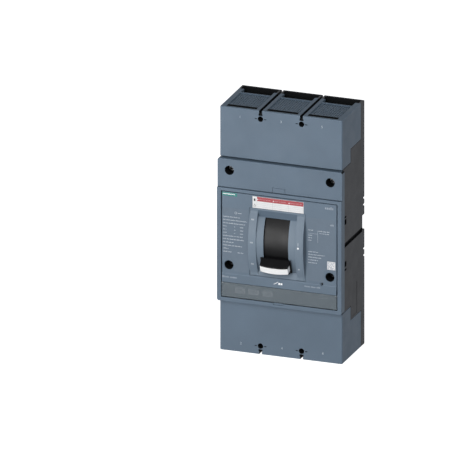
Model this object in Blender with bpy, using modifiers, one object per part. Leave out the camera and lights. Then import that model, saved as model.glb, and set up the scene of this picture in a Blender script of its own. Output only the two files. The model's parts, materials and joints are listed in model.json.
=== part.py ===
"""Molded case circuit breaker, three poles, 800 A frame, with an electronic trip unit.

Coordinates of the shapes are (x, d, z) in millimetres. x runs to the right as seen from the
front, d is the distance forward of the mounting plane and z is the height above the middle of
the housing. The scene is in metres with +Z up, and d = 0 is the plane Y = 0.
"""
import math

import bmesh
import bpy
from mathutils import Matrix, Vector

MM = 0.001
CLEAR = 0.3                      # gap between pieces that touch in the real assembly

# housing
BASE_HALF = 103.0                # half width of the base and of the terminal covers
COVER_HALF = 105.0               # half width of the main cover
BASE_TOP = 98.0                  # front rim of the base
STEP_D = 63.7                    # front of the lower step next to the terminals
TRAY_D = 16.0                    # front of the terminal tray
MID_Z = 120.7                    # half height of the deep part of the base
STEP_Z = 144.0                   # half height of the stepped part
END_Z = 205.0                    # half height over all
WALL_X = 97.0                    # inner face of the side walls
FLOOR_D = 5.0                    # inner face of the back wall
PITCH = 69.0                     # pole pitch
PART_X = 34.5                    # middle of the partitions
PART_HALF = 2.5
POLES = (-PITCH, 0.0, PITCH)

# front
STRIP_D = 110.0
FRAME_D = 113.0
PANEL_D = 112.0
STRIP_Z = 71.5
COVER_Z = 119.5
POCKET_X = 98.0
POCKET_LOW, POCKET_HIGH = -112.5, 66.0
POCKET_D = 101.5
PANEL_LOW, PANEL_HIGH = -86.9, 65.7
TERM_D = 104.0                   # front of the terminal covers
TERM_LOW = 121.3
SCREW_X = 85.0
SCREW_ZS = (100.5, -58.0)
SCREW_HOLE = 7.4
TERM_SCREW_Z = 191.0

# toggle
TOGGLE_X = -3.0                  # middle of the toggle and of its bezel
PIVOT = (30.0, -14.0)            # toggle axis, (d, z)
SWING = 20.4                     # half travel of the toggle, degrees
SLIDE_R0, SLIDE_R1 = 85.0, 88.0
SLOT_HALF = 20.9                  # half width of the toggle's slot
SILL_LOW, SILL_HIGH = (107.4, -59.4), (108.4, 30.2)   # inner edges of its sills, (d, z)
LEDGE_R = 90.5
BEZEL_LOW, BEZEL_HIGH = -70.0, 43.0

# contacts
ROTOR = (40.0, -40.0)            # rotor axis, (d, z)
CRANK_R = 15.0
CRANK_ANGLE = 0.6                # angle of the crank pins at rest, degrees
ARM_OPEN = 90.0 - 2 * SWING      # angle of the contact arm at rest, degrees
ARM_HALF = 32.0

# trip unit
TRIP_BAR = (78.0, -78.0)
LATCH = (76.0, -55.0)
BUTTON = (72.0, -70.6)           # (x, z)
HINGE = (111.3, -88.9)           # (d, z) of the window's hinge
VENTS = 13                       # slots of the grille over each terminal
VENT_HALF = 1.15
DIALS = ((-69.0, -103.0), (-46.5, -103.0), (-22.3, -103.0))


# ---------------------------------------------------------------- shapes
# A shape is (build, moves): build(bm) models one solid in (x, d, z), and moves are the
# placements that follow, each from one (x, d, z) to another.

TURN = {                          # local (p, q, along) to (x, d, z)
    "x": Matrix(((0, 0, 1), (1, 0, 0), (0, 1, 0))),
    "d": Matrix(((1, 0, 0), (0, 0, 1), (0, 1, 0))),
    "z": Matrix.Identity(3),
}


def box(x0, x1, d0, d1, z0, z1):
    def build(bm):
        verts = bmesh.ops.create_cube(bm, size=1.0)["verts"]
        bmesh.ops.scale(bm, verts=verts, vec=(x1 - x0, d1 - d0, z1 - z0))
        bmesh.ops.translate(bm, verts=verts, vec=((x0 + x1) / 2, (d0 + d1) / 2, (z0 + z1) / 2))
    return build, ()


def rod(axis, p, q, r, a0, a1, seg=24):
    """Cylinder along x, d or z. (p, q) is its centre in the other two coordinates."""
    def build(bm):
        verts = bmesh.ops.create_cone(bm, cap_ends=True, segments=seg, radius1=r, radius2=r,
                                      depth=a1 - a0)["verts"]
        bmesh.ops.translate(bm, verts=verts, vec=(p, q, (a0 + a1) / 2))
        bmesh.ops.transform(bm, matrix=TURN[axis].to_4x4(), verts=verts)
    return build, ()


def prism(axis, outline, a0, a1):
    """Extruded outline: (d, z) points for axis x, (x, z) for axis d, (x, d) for axis z."""
    def build(bm):
        face = bm.faces.new([bm.verts.new((p, q, a0)) for p, q in outline])
        grown = bmesh.ops.extrude_face_region(bm, geom=[face])["geom"]
        top = [v for v in grown if isinstance(v, bmesh.types.BMVert)]
        bmesh.ops.translate(bm, verts=top, vec=(0, 0, a1 - a0))
        bmesh.ops.transform(bm, matrix=TURN[axis].to_4x4(), verts=bm.verts)
    return build, ()


def turned(axis, p, q, profile, seg=24):
    """Solid of revolution. The profile is a list of (position along the axis, radius)."""
    def build(bm):
        line = [(profile[0][0], 0.0)] + list(profile) + [(profile[-1][0], 0.0)]
        chain = [bm.verts.new((r, 0, a)) for a, r in line]
        edges = [bm.edges.new(pair) for pair in zip(chain, chain[1:])]
        bmesh.ops.spin(bm, geom=chain + edges, cent=(0, 0, 0), axis=(0, 0, 1), dvec=(0, 0, 0),
                       angle=2 * math.pi, steps=seg, use_merge=True)
        bmesh.ops.remove_doubles(bm, verts=bm.verts, dist=1e-4)
        bmesh.ops.translate(bm, verts=bm.verts, vec=(p, q, 0))
        bmesh.ops.transform(bm, matrix=TURN[axis].to_4x4(), verts=bm.verts)
    return build, ()


def circle(p, q, r, seg=24, phase=0.0):
    return [(p + r * math.cos(phase + 2 * math.pi * i / seg),
             q + r * math.sin(phase + 2 * math.pi * i / seg)) for i in range(seg)]


def arc(p, q, r, a0, a1, steps):
    """Points on an arc, angles in degrees."""
    out = []
    for i in range(steps + 1):
        a = math.radians(a0 + (a1 - a0) * i / steps)
        out.append((p + r * math.cos(a), q + r * math.sin(a)))
    return out


def stadium(p0, q0, p1, q1, r, steps=6):
    """Outline of a bar with round ends."""
    a = math.degrees(math.atan2(q1 - q0, p1 - p0))
    return arc(p1, q1, r, a - 90, a + 90, steps) + arc(p0, q0, r, a + 90, a + 270, steps)


def moved(shape, move):
    return shape[0], shape[1] + (move,)


def polar(shape, centre, degrees):
    """Place a shape drawn as (x, radius, height) around an axis parallel to x."""
    c, s = math.cos(math.radians(degrees)), math.sin(math.radians(degrees))
    return moved(shape, lambda p: (p[0], centre[0] + p[1] * c - p[2] * s,
                                   centre[1] + p[1] * s + p[2] * c))


def flip(shape):
    """Mirror from the line side to the load side."""
    return moved(shape, lambda p: (p[0], p[1], -p[2]))


def mirror_x(shape):
    return moved(shape, lambda p: (-p[0], p[1], p[2]))


def both_sides(shapes):
    return list(shapes) + [mirror_x(s) for s in shapes]


def both_ends(shapes):
    return list(shapes) + [flip(s) for s in shapes]


def same(shape):
    return shape


# ---------------------------------------------------------------- scene helpers

for ob in list(bpy.data.objects):
    bpy.data.objects.remove(ob, do_unlink=True)

scene = bpy.context.scene
scene.unit_settings.system = "METRIC"
parts = bpy.data.collections.new("molded_case_breaker")
tools = bpy.data.collections.new("cutters")
scene.collection.children.link(parts)
scene.collection.children.link(tools)


def material(name, colour, metallic=0.0, roughness=0.5, alpha=1.0):
    mat = bpy.data.materials.new(name)
    mat.use_nodes = True
    shader = mat.node_tree.nodes["Principled BSDF"]
    shader.inputs["Base Color"].default_value = (*colour, 1.0)
    shader.inputs["Metallic"].default_value = metallic
    shader.inputs["Roughness"].default_value = roughness
    shader.inputs["Alpha"].default_value = alpha
    mat.diffuse_color = (*colour, alpha)
    return mat


MAT = {
    "cover_grey": material("cover_grey", (0.155, 0.205, 0.255), 0.0, 0.5),
    "base_black": material("base_black", (0.062, 0.064, 0.066), 0.0, 0.6),
    "handle_black": material("handle_black", (0.012, 0.012, 0.013), 0.0, 0.4),
    "cap_white": material("cap_white", (0.80, 0.80, 0.79), 0.0, 0.45),
    "smoke_window": material("smoke_window", (0.24, 0.24, 0.23), 0.0, 0.2, 0.35),
    "zinc_steel": material("zinc_steel", (0.56, 0.57, 0.58), 1.0, 0.35),
    "copper": material("copper", (0.72, 0.38, 0.24), 1.0, 0.35),
    "fibre_brown": material("fibre_brown", (0.30, 0.20, 0.12), 0.0, 0.7),
    "board_green": material("board_green", (0.03, 0.16, 0.07), 0.0, 0.5),
    "rotor_cream": material("rotor_cream", (0.60, 0.52, 0.38), 0.0, 0.6),
    "label_white": material("label_white", (0.85, 0.85, 0.84), 0.0, 0.4),
    "dial_grey": material("dial_grey", (0.42, 0.43, 0.45), 0.0, 0.45),
}


def place(x, d, z):
    return Vector((x, -d, z)) * MM


def mesh_object(name, shapes, collection, origin=(0.0, 0.0, 0.0)):
    """Mesh object whose origin stands at the given (x, d, z)."""
    base_point = place(*origin)
    whole = bmesh.new()
    for build, moves in shapes:
        bm = bmesh.new()
        build(bm)
        for vert in bm.verts:
            point = tuple(vert.co)
            for move in moves:
                point = move(point)
            vert.co = place(*point) - base_point
        bm.normal_update()
        bmesh.ops.recalc_face_normals(bm, faces=bm.faces)
        if bm.calc_volume(signed=True) < 0:
            bmesh.ops.reverse_faces(bm, faces=bm.faces)
        solid = bpy.data.meshes.new(name)
        bm.to_mesh(solid)
        bm.free()
        whole.from_mesh(solid)
        bpy.data.meshes.remove(solid)
    mesh = bpy.data.meshes.new(name)
    whole.to_mesh(mesh)
    whole.free()
    mesh.shade_smooth()
    mesh.set_sharp_from_angle(angle=math.radians(35))
    ob = bpy.data.objects.new(name, mesh)
    ob.location = base_point
    collection.objects.link(ob)
    return ob


def operand(ob, shapes, operation):
    """Join or cut with one more set of solids that don't overlap each other."""
    tool = mesh_object(f"{ob.name}_{operation.lower()}_{len(ob.modifiers) + 1}", shapes, tools)
    tool.hide_render = True
    tool.display_type = "WIRE"
    mod = ob.modifiers.new(operation.title(), "BOOLEAN")
    mod.operation = operation
    mod.solver = "EXACT"
    mod.object = tool


def piece(name, mat, solid, steps=(), bevel=0.0, origin=(0.0, 0.0, 0.0)):
    """One node: a solid, then steps of ("+" or "-", shapes)."""
    ob = mesh_object(name, [solid], parts, origin)
    ob.data.materials.append(MAT[mat])
    if bevel:
        mod = ob.modifiers.new("Bevel", "BEVEL")
        mod.width = bevel * MM
        mod.segments = 1
        mod.limit_method = "ANGLE"
        mod.angle_limit = math.radians(40)
    for sign, shapes in steps:
        operand(ob, shapes, "UNION" if sign == "+" else "DIFFERENCE")
    return ob


# ---------------------------------------------------------------- base

def pole_span(xc, centre_half, side_in, side_out):
    """x range of one pole between its partitions."""
    if xc == 0:
        return -centre_half, centre_half
    lo, hi = side_in, side_out
    return (lo, hi) if xc > 0 else (-hi, -lo)


def base():
    outline = [(0, -END_Z), (TRAY_D, -END_Z), (TRAY_D, -STEP_Z), (STEP_D, -STEP_Z),
               (STEP_D, -MID_Z), (BASE_TOP, -MID_Z), (BASE_TOP, MID_Z), (STEP_D, MID_Z),
               (STEP_D, STEP_Z), (TRAY_D, STEP_Z), (TRAY_D, END_Z), (0, END_Z)]
    hollow = [(FLOOR_D, -140), (60, -140), (60, -114), (99, -114), (99, 114), (60, 114),
              (60, 140), (FLOOR_D, 140)]
    cavities, pockets, passages = [], [], []
    for xc in POLES:
        x0, x1 = pole_span(xc, PART_X - PART_HALF, PART_X + PART_HALF, WALL_X)
        cavities.append(prism("x", hollow, x0, x1))
        x0, x1 = pole_span(xc, 29.5, 39.5, 99.0)
        well = [(9.7, 148), (17, 148), (17, 206), (4, 206), (4, 196), (9.7, 196)]
        pockets += both_ends([prism("x", well, x0, x1)])
        passages += both_ends([box(xc - 18.4, xc + 18.4, 9.7, 18.3, 139, 149)])
    bosses = [prism("d", [(min(x, 98.0), z) for x, z in stadium(SCREW_X, zc, 97.5, zc, 7.0, 4)],
                    62, 90) for zc in SCREW_ZS]
    holes = [rod("d", SCREW_X, z, 3.3, 64, 91, 16) for z in SCREW_ZS]
    details = [box(99.2, 104, 11, 99, -12.0, -5.8), box(98.5, 104, -1, 10.5, -11.5, 14),
               box(102.5, 104, 35, 60, -140, -88)]
    details += [box(100, 104, -1, 6, z - 2, z + 2) for z in (41, 29.5, -44.4, -55.7)]
    details += [box(100.5, 104, 90, 99, z - h, z + h)
                for z, h in ((30, 4.5), (38, 1.5), (-41, 4.5), (-50.5, 1.5))]
    details += [rod("x", *ROTOR, 10.9, 96.5, 99, 16)]
    windows = [rod("x", *ROTOR, 10.9, -38, 38, 16), rod("x", *TRIP_BAR, 3.5, -38, 38, 16),
               box(-38, 38, 70, 99, -113, -86.5)]
    ends = both_sides([box(32.9, 36.1, -1, 17, 197, 206),
                       rod("d", PART_X, TERM_SCREW_Z, 2.3, 3, 17, 16),
                       rod("d", PART_X, 172, 3.2, -1, 17, 16)])
    piece("base_housing", "base_black", prism("x", outline, -BASE_HALF, BASE_HALF),
          [("-", cavities), ("-", pockets), ("-", passages),
           ("+", both_sides(bosses)), ("-", both_sides(holes)), ("-", both_sides(details)),
           ("-", windows), ("-", both_ends(ends))], bevel=0.8)


# ---------------------------------------------------------------- covers

def chamfered(x, z0, z1, c):
    return [(-x + c, z0), (x - c, z0), (x, z0 + c), (x, z1 - c), (x - c, z1), (-x + c, z1),
            (-x, z1 - c), (-x, z0 + c)]


def main_cover():
    body = prism("d", chamfered(COVER_HALF, -COVER_Z, COVER_Z, 2.2), BASE_TOP + CLEAR, FRAME_D)
    cuts = [box(-106, 106, STRIP_D, 114, STRIP_Z, 121),
            box(-POCKET_X, POCKET_X, POCKET_D, 114, POCKET_LOW, POCKET_HIGH)]
    under = [box(-97, 97, 97, 107, 70, 115.5)]
    openings = [box(TOGGLE_X - 27, TOGGLE_X + 27, 97, 102, -83, 62),
                box(-95, 95, 97, 102, -112, -86.4),
                rod("d", *BUTTON, 1.9, 97, 102, 16),
                box(-9.6, 7.1, 108, 114, -115.4, -112)]
    bosses = [rod("d", SCREW_X, SCREW_ZS[0], 10.5, 90.3, 108.5, 18),
              rod("d", SCREW_X, SCREW_ZS[1], 10.5, 90.3, 99.5, 18)]
    bores = [turned("d", SCREW_X, z, [(89, 3.3), (93.3, 3.3), (93.3, SCREW_HOLE),
                                      (108.6, SCREW_HOLE), (110.1, 9.0), (115, 9.0)], 20)
             for z in SCREW_ZS]
    pins = [rod("x", *HINGE, 1.3, 97, 101.5, 12)]
    latch = [box(-12.4, -11.6, 109.2, 111, 71, 81.0), box(8.6, 9.4, 109.2, 111, 71, 81.0),
             box(-11.0, 8.0, 109.2, 111, 80.2, 81.0)]
    piece("main_cover", "cover_grey", body,
          [("-", cuts), ("-", under), ("+", both_sides(bosses)), ("-", openings),
           ("-", both_sides(bores)), ("-", both_sides(pins)), ("-", latch)], bevel=0.7)


def front_panel():
    profile = [(101.8, PANEL_LOW), (FRAME_D, PANEL_LOW), (FRAME_D, -72.0), (PANEL_D, -70.8),
               (PANEL_D, PANEL_HIGH), (101.8, PANEL_HIGH)]
    half = POCKET_X - CLEAR
    opening = box(TOGGLE_X - 46.7, TOGGLE_X + 46.7, 100, 115, BEZEL_LOW - CLEAR,
                  BEZEL_HIGH + CLEAR)
    hollow = [box(-half + 3, TOGGLE_X - 49.7, 100, 109, -68, 62.7),
              box(TOGGLE_X + 49.7, half - 3, 100, 109, -68, 62.7)]
    bosses = [rod("d", SCREW_X, SCREW_ZS[1], 10.2, 101.8, 110, 18)]
    bores = [turned("d", SCREW_X, SCREW_ZS[1], [(100, SCREW_HOLE), (110.7, SCREW_HOLE),
                                                (112.1, 9.0), (115, 9.0)], 20)]
    small = [turned("d", *BUTTON, [(100, 1.75), (111, 1.75), (111, 2.9), (115, 2.9)], 16)]
    seat = [box(-45.3, 41.3, 111.3, 115, 42.0, 63.2)]
    piece("front_panel", "cover_grey", prism("x", profile, -half, half),
          [("-", hollow), ("+", both_sides(bosses)), ("-", [opening]), ("-", both_sides(bores)),
           ("-", small), ("-", seat)], bevel=0.5)


def toggle_bezel():
    low = math.degrees(math.asin((-58.6 - PIVOT[1]) / LEDGE_R))
    high = math.degrees(math.asin((29.0 - PIVOT[1]) / LEDGE_R))
    trough = ([(102.2, BEZEL_LOW), (PANEL_D, BEZEL_LOW), SILL_LOW]
              + arc(*PIVOT, LEDGE_R, low, high, 14)
              + [SILL_HIGH, (PANEL_D, BEZEL_HIGH - 2.5), (PANEL_D, BEZEL_HIGH),
                 (102.2, BEZEL_HIGH)])
    body = prism("x", trough, TOGGLE_X - 46.4, TOGGLE_X + 46.4)
    cheek = ([(103.0, BEZEL_LOW), (PANEL_D, BEZEL_LOW)] + arc(-13, -14, 135, -22.2, 22.2, 14)
             + [(PANEL_D, BEZEL_HIGH), (103.0, BEZEL_HIGH)])
    cheeks = [prism("x", cheek, TOGGLE_X - 46.4, TOGGLE_X - 33),
              prism("x", cheek, TOGGLE_X + 33, TOGGLE_X + 46.4)]
    slot = [(130, -58.6), (106.4, -58.6), (100, -70), (90, -70), (90, 42), (100, 42),
            (107.3, 29), (130, 29)]
    piece("toggle_bezel", "cover_grey", body,
          [("+", cheeks),
           ("-", [prism("x", slot, TOGGLE_X - SLOT_HALF, TOGGLE_X + SLOT_HALF)])])


def terminal_cover(name, put):
    outline = [(64.2, TERM_LOW), (TERM_D, TERM_LOW), (TERM_D, END_Z), (16.3, END_Z),
               (16.3, STEP_Z + CLEAR), (64.2, STEP_Z + CLEAR)]
    inside = [(63, 124.6), (100, 124.6), (100, 201), (15, 201), (15, 143), (63, 143)]
    rooms, tops, vents, sunk = [], [], [], []
    for xc in POLES:
        x0, x1 = pole_span(xc, 27.3, 41.7, 94.5)
        rooms.append(prism("x", inside, x0, x1))
        x0, x1 = pole_span(xc, 26.0, 43.0, 93.5)
        tops += [box(x0, x1, 91, 99.6, 200, 206), box(x0, x1, 15, 32.4, 200, 206)]
        sunk.append(box(x0, x1, 34.3, 89.2, 203.6, 206))
        for i in range(VENTS):
            x = x0 + (x1 - x0) * (i + 0.5) / VENTS
            vents.append(box(x - VENT_HALF, x + VENT_HALF, 35.6, 88.0, 200, 206))
    slots = [box(PART_X - 2.4, PART_X + 2.4, 15, 105, 199.5, 206)]
    feet = [box(PART_X - 3.3, PART_X + 3.3, 101, 105, 196.6, 200)]
    bores = [turned("d", PART_X, TERM_SCREW_Z, [(15, 2.3), (91, 2.3), (91, 4.0), (105, 4.0)],
                    20)]
    steps = [("-", rooms), ("-", tops), ("-", sunk), ("-", vents), ("-", both_sides(slots)),
             ("-", both_sides(feet)), ("-", both_sides(bores))]
    steps = [(sign, [put(s) for s in shapes]) for sign, shapes in steps]
    piece(name, "cover_grey", put(prism("x", outline, -BASE_HALF, BASE_HALF)), steps, bevel=0.8)


# ---------------------------------------------------------------- fasteners and labels

def screws():
    """Cover screws deep in their wells, and the long captive screws of the terminal covers."""
    for side, sx in (("left", -1), ("right", 1)):
        for end, z in zip(("upper", "lower"), SCREW_ZS):
            x = sx * SCREW_X
            head = turned("d", x, z, [(66, 2.6), (67, 3.0), (93.6, 3.0), (93.6, 6.6),
                                      (97.4, 6.6), (98.4, 5.6)], 12)
            piece(f"cover_screw_{end}_{side}", "zinc_steel", head,
                  [("-", [box(x - 4.2, x + 4.2, 96.6, 99, z - 0.7, z + 0.7)]),
                   ("-", [box(x - 0.7, x + 0.7, 96.6, 99, z - 4.2, z + 4.2)])])
        for end, z in (("line", TERM_SCREW_Z), ("load", -TERM_SCREW_Z)):
            x = sx * PART_X
            head = turned("d", x, z, [(4.5, 1.6), (5.5, 2.0), (91.4, 2.0), (91.4, 3.6),
                                      (94.4, 3.6), (95.0, 3.0)], 10)
            piece(f"{end}_cover_screw_{side}", "zinc_steel", head,
                  [("-", [box(x - 4, x + 4, 93.6, 96, z - 0.5, z + 0.5)])])


def label():
    piece("warning_label", "label_white", box(-45, 41, 111.5, 112.15, 43.7, 63.0))


# ---------------------------------------------------------------- toggle and mechanism

def toggle(shape):
    return polar(shape, PIVOT, -SWING)


def toggle_parts():
    x0, x1 = TOGGLE_X - 20.0, TOGGLE_X + 20.0
    band = arc(0, 0, SLIDE_R1, -50, 51, 24) + arc(0, 0, SLIDE_R0, 51, -50, 24)
    stem = [toggle(box(x0 + 1, x1 - 1, 87.0, 92.6, -9.5, 9.5))]
    wedge = [(92.0, -12.3), (94.6, -12.3), (107.6, -6.4), (107.6, 6.4), (94.6, 12.3),
             (92.0, 12.3)]
    grip = [toggle(prism("x", wedge, TOGGLE_X - 23.4, TOGGLE_X + 23.4))]
    flange = [toggle(box(TOGGLE_X - 25.4, TOGGLE_X + 25.4, 91.8, 94.2, -12.3, 12.3))]
    side = box(TOGGLE_X + 20.2, TOGGLE_X + 26, 94.9, 112, -6.2, 4.7)
    other = box(TOGGLE_X - 26, TOGGLE_X - 20.2, 94.9, 112, -6.2, 4.7)
    front = [toggle(box(TOGGLE_X - 26, TOGGLE_X + 26, 103.6, 112, -6.2, 4.7))]
    axis = (TOGGLE_X, *PIVOT)
    piece("toggle_handle", "handle_black", toggle(prism("x", band, x0, x1)),
          [("+", stem), ("+", grip), ("+", flange), ("-", [toggle(side), toggle(other)]),
           ("-", front)], origin=axis)
    outer = [(TOGGLE_X - 23.4, 95.2), (TOGGLE_X - 20.5, 95.2), (TOGGLE_X - 20.5, 103.9),
             (TOGGLE_X + 20.5, 103.9), (TOGGLE_X + 20.5, 95.2), (TOGGLE_X + 23.4, 95.2),
             (TOGGLE_X + 23.4, 107.4), (TOGGLE_X + 22.0, 108.8), (TOGGLE_X - 22.0, 108.8),
             (TOGGLE_X - 23.4, 107.4)]
    piece("toggle_cap", "cap_white", toggle(prism("z", outer, -5.9, 4.4)), origin=axis)


def yoke():
    off = math.radians(CRANK_ANGLE + SWING)
    pin_r, pin_t = CRANK_R * math.cos(off), CRANK_R * math.sin(off)
    arm = [(0, -8), (24, -5), (60, -4), (74, -8), (83.9, -8), (83.9, 8), (74, 8), (60, 4),
           (26, 5), (pin_r + 2, pin_t + 4), (pin_r - 4, pin_t + 4)]
    arm += arc(0, 0, 8, 120, 270, 8)[:-1]
    xs = ((TOGGLE_X - 18.5, TOGGLE_X - 15.5), (TOGGLE_X + 15.5, TOGGLE_X + 18.5))
    arms = [toggle(prism("x", arm, a, b)) for a, b in xs]
    bridge = [toggle(box(TOGGLE_X - 18, TOGGLE_X + 18, 81.2, 83.7, -7.4, 7.4)),
              toggle(rod("x", 42, 0, 1.8, TOGGLE_X - 16, TOGGLE_X + 16, 12))]
    pins = [toggle(rod("x", pin_r, pin_t, 2.0, TOGGLE_X - 16, -15.9 + 0.1, 14)),
            toggle(rod("x", pin_r, pin_t, 2.0, 9.9, TOGGLE_X + 16, 14))]
    holes = [toggle(rod("x", 0, 0, 3.3, -40, 40, 16))]
    piece("toggle_yoke", "zinc_steel", arms[0],
          [("+", [arms[1]]), ("+", bridge), ("+", pins), ("-", holes)],
          origin=(TOGGLE_X, *PIVOT))


def spring(name, x, r_coil, r_wire, r0, r1, turns):
    """Coil spring between the yoke's lower rod and its bridge, made as a wire."""
    curve = bpy.data.curves.new(name, "CURVE")
    curve.dimensions = "3D"
    curve.bevel_depth = r_wire * MM
    curve.bevel_resolution = 0
    curve.use_fill_caps = True
    steps = turns * 9
    line = curve.splines.new("POLY")
    line.points.add(steps)
    c, s = math.cos(math.radians(-SWING)), math.sin(math.radians(-SWING))
    for i, point in enumerate(line.points):
        w = 2 * math.pi * i / 9
        r, t = r0 + (r1 - r0) * i / steps, r_coil * math.sin(w)
        point.co = (*(place(x + r_coil * math.cos(w), r * c - t * s, r * s + t * c)), 1.0)
    ob = bpy.data.objects.new(name, curve)
    ob.location = place(0.0, *PIVOT)
    curve.materials.append(MAT["zinc_steel"])
    parts.objects.link(ob)


def mechanism():
    plate = [(20, -59), (66, -59), (80, -59), (82, -56), (82, -8), (74, 0.5), (62, 3.5),
             (24, 3.5), (20, -1)]
    rods = (("rear", 26, 0.5), ("lower", 58, -56.5), ("latch", *LATCH))
    holes = [rod("x", d, z, 2.2, -30, 30, 14) for _, d, z in rods]
    holes += [rod("x", *ROTOR, 12.0, -30, 30, 16)]
    piece("mechanism_plate_left", "zinc_steel", prism("x", plate, -25, -22.5),
          [("-", holes), ("+", [rod("x", *PIVOT, 3.0, -23, -18, 16)])])
    piece("mechanism_plate_right", "zinc_steel", prism("x", plate, 16.5, 19),
          [("-", holes), ("+", [rod("x", *PIVOT, 3.0, 12, 17, 16)])])
    for name, d, z in rods:
        piece(f"tie_rod_{name}", "zinc_steel", rod("x", d, z, 1.9, -31.7, 31.7, 14))
    c0, y0 = crank_point(ROTOR), crank_point(PIVOT)
    bar = stadium(*c0, *y0, 3.0)
    for side, a, b in (("left", -18.2, -16.1), ("right", 10.1, 12.2)):
        piece(f"drive_link_{side}", "zinc_steel", prism("x", bar, a, b),
              [("-", [rod("x", *c0, 2.3, -20, 20, 14), rod("x", *y0, 2.3, -20, 20, 14)])],
              origin=(0.0, *c0))
    blade = prism("x", [(74.2, -55), (77.8, -55), (77.8, -43), (75.4, -41), (74.2, -43)],
                  -3.2, 3.2)
    tail = prism("x", [(73.4, -55), (76.4, -55), (76.4, -71.2), (74.2, -71.2)], -3.2, 3.2)
    piece("latch_lever", "zinc_steel", prism("x", circle(*LATCH, 5.0, 20), -3.5, 3.5),
          [("+", [blade]), ("+", [tail]), ("-", [rod("x", *LATCH, 2.2, -6, 6, 14)])],
          origin=(0.0, *LATCH))


def crank_point(centre):
    a = math.radians(CRANK_ANGLE)
    return centre[0] + CRANK_R * math.cos(a), centre[1] + CRANK_R * math.sin(a)


# ---------------------------------------------------------------- contacts

def along_arm(shape):
    return polar(shape, ROTOR, ARM_OPEN)


def contacts():
    for n, xc in enumerate(POLES, 1):
        if xc:
            span = [34.8, abs(xc) - 9, abs(xc) + 9, 98.7]
            xs = span if xc > 0 else [-v for v in reversed(span)]
        else:
            xs = [-34.2, -9, 9, 34.2]
        spool = turned("x", *ROTOR, [(xs[0], 10.5), (xs[1], 10.5), (xs[1], 19.5),
                                     (xs[2], 19.5), (xs[2], 10.5), (xs[3], 10.5)], 20)
        slot = along_arm(box(xc - 7.4, xc + 7.4, -25, 25, -4.4, 4.4))
        holes = [along_arm(rod("x", 0, -7.2, 2.25, -100, 100, 14))]
        if not xc:
            holes.append(rod("x", *crank_point(ROTOR), 2.25, -12, 12, 14))
        piece(f"contact_rotor_{n}", "rotor_cream", spool, [("-", [slot]), ("-", holes)],
              origin=(xc, *ROTOR))
        arm = [(-ARM_HALF, -4), (-ARM_HALF + 1, -6), (-23.5, -6), (-23, -4), (ARM_HALF - 2, -4),
               (ARM_HALF, -2), (ARM_HALF, 4), (ARM_HALF - 1, 6), (23.5, 6), (23, 4),
               (-ARM_HALF + 2, 4), (-ARM_HALF, 2)]
        piece(f"contact_arm_{n}", "copper", along_arm(prism("x", arm, xc - 7, xc + 7)),
              origin=(xc, *ROTOR))
    piece("crossbar_rod", "zinc_steel", along_arm(rod("x", 0, -7.2, 2.0, -95, 95, 14)),
          origin=(0.0, *ROTOR))
    piece("crank_pin", "zinc_steel", rod("x", *crank_point(ROTOR), 2.0, -18.6, 12.6, 14),
          origin=(0.0, *ROTOR))


def conductors():
    for n, xc in enumerate(POLES, 1):
        bar = [(10, -20), (18, -20), (18, -18), (33.6, -17), (33.6, -8), (18, -4), (18, 150),
               (19, 150), (19, 192), (10, 192)]
        sides = [box(xc - 20, xc - 8, 18, 35, -20.5, -2), box(xc + 8, xc + 20, 18, 35, -20.5, -2)]
        piece(f"line_conductor_{n}", "copper", prism("x", bar, xc - 18, xc + 18),
              [("-", sides), ("-", [rod("d", xc, 182, 5.3, 8, 20, 16)])])
        bar = [(49, -62), (55, -62), (55, -120), (18, -120), (18, -150), (19, -150),
               (19, -192), (10, -192), (10, -112), (49, -112), (49, -72), (46.4, -71.5),
               (46.4, -63.5), (49, -63)]
        piece(f"load_conductor_{n}", "copper", prism("x", bar, xc - 15, xc + 15),
              [("-", [rod("d", xc, -182, 5.3, 8, 20, 16)])])
        piece(f"current_transformer_{n}", "board_green",
              box(xc - 27, xc + 27, 5.4, 27, -137, -125.5),
              [("-", [box(xc - 15.6, xc + 15.6, 9.4, 18.6, -139, -123)])], bevel=1.5)


def arc_chutes():
    """Stacks of splitter plates held by two insulating walls."""
    for n, xc in enumerate(POLES, 1):
        for name, d0, d1, zs, z0, z1 in (
                ("line", 22, 56, [8 + 7.4 * i for i in range(6)], 5.0, 51.0),
                ("load", 14, 45, [-107.5 + 7.4 * i for i in range(4)], -110.5, -78.0)):
            walls = [box(xc - 22.2, xc - 19.5, d0 - 1.5, d1 + 1.5, z0, z1),
                     box(xc + 19.5, xc + 22.2, d0 - 1.5, d1 + 1.5, z0, z1)]
            plates = []
            for z in zs:
                outline = [(xc - 20, d0), (xc - 6, d0), (xc - 2, d0 + 14), (xc + 2, d0 + 14),
                           (xc + 6, d0), (xc + 20, d0), (xc + 20, d1), (xc - 20, d1)]
                plates.append(prism("z", outline, z, z + 1.6))
            piece(f"{name}_arc_chute_{n}", "fibre_brown", walls[0],
                  [("+", plates), ("+", [walls[1]])])


# ---------------------------------------------------------------- trip unit

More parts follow.
